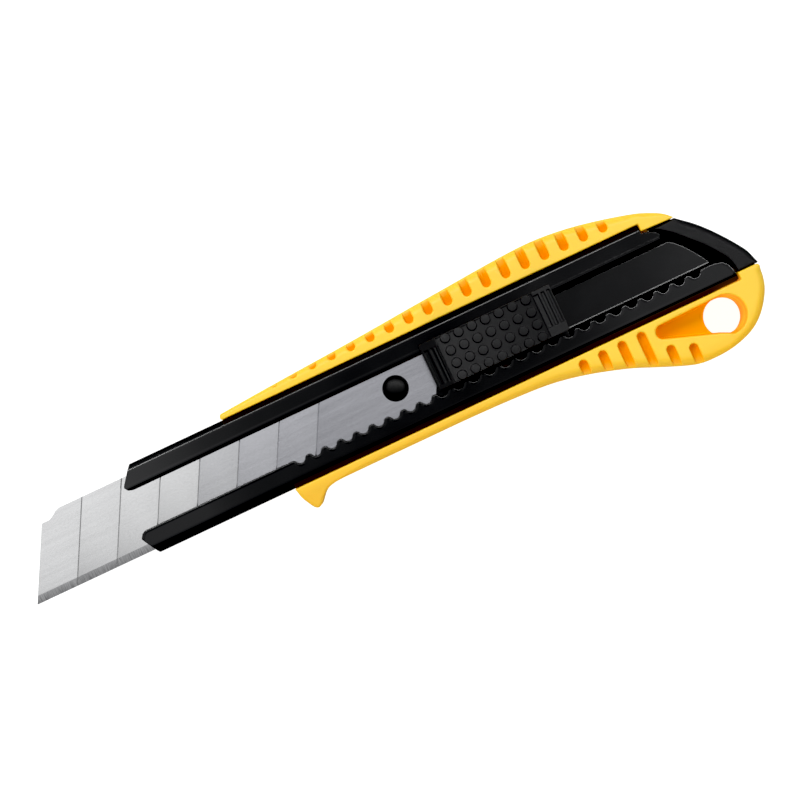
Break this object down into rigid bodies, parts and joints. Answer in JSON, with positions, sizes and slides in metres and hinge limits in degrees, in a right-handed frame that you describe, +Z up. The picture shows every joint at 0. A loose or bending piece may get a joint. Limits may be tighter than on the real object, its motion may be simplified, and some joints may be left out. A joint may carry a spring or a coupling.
{
  "type": "snap off knife",
  "caption": "Snap off knife: scored blade sliding in a notched steel channel, with a lockable thumb button, grooved plastic handle, pull-off end cap and lanyard hole",
  "frame": {"origin": "on the flat back face of the handle, on the centre line of the steel channel, level with the blade's hanging peg", "axes": "+X along the knife from blade tip to handle rear, +Y across it away from the cutting edge, +Z up out of the thumb button side; the knife lies on its back on z = 0"},
  "size_m": [0.1819, 0.0419, 0.0148],
  "materials": {
    "yellow_plastic": "satin moulded plastic, warm yellow",
    "black_coated_steel": "gloss black coating on folded sheet steel",
    "black_grained_plastic": "fine grained matte black plastic",
    "black_matte_plastic": "matte black plastic with raised grip dots",
    "holder_black_steel": "black coated strip steel",
    "peg_black_gloss": "polished black domed rivet head",
    "spring_steel": "blued spring steel, slightly brown",
    "blade_steel": "bright carbon steel, finely ground",
    "blade_tang_steel": "bright carbon steel, finely ground"
  },
  "bodies": {
    "handle": {"handle_body": "yellow_plastic", "blade_channel": "black_coated_steel"},
    "carriage": {"blade_holder": "holder_black_steel", "holder_peg": "peg_black_gloss", "lock_spring": "spring_steel", "blade_segment_1": "blade_steel", "blade_segment_2": "blade_steel", "blade_segment_3": "blade_steel", "blade_segment_4": "blade_steel", "blade_segment_5": "blade_steel", "blade_segment_6": "blade_steel", "blade_segment_7": "blade_steel", "blade_tang": "blade_tang_steel"},
    "button": {"thumb_button": "black_matte_plastic"},
    "cap": {"end_cap": "black_grained_plastic"}
  },
  "joints": [
    {"name": "blade_slide", "type": "slide", "parent": "handle", "child": "carriage", "axis": [-1, 0, 0], "range_m": [-0.028, 0.048]},
    {"name": "thumb_press", "type": "slide", "parent": "carriage", "child": "button", "axis": [0, 0, -1], "range_m": [0, 0.0009], "stiffness_N_per_m": 200, "springref_m": -0.004, "deforming": ["lock_spring"]},
    {"name": "end_cap_pull", "type": "slide", "parent": "handle", "child": "cap", "axis": [1, 0, 0], "range_m": [0, 0.03]}
  ]
}
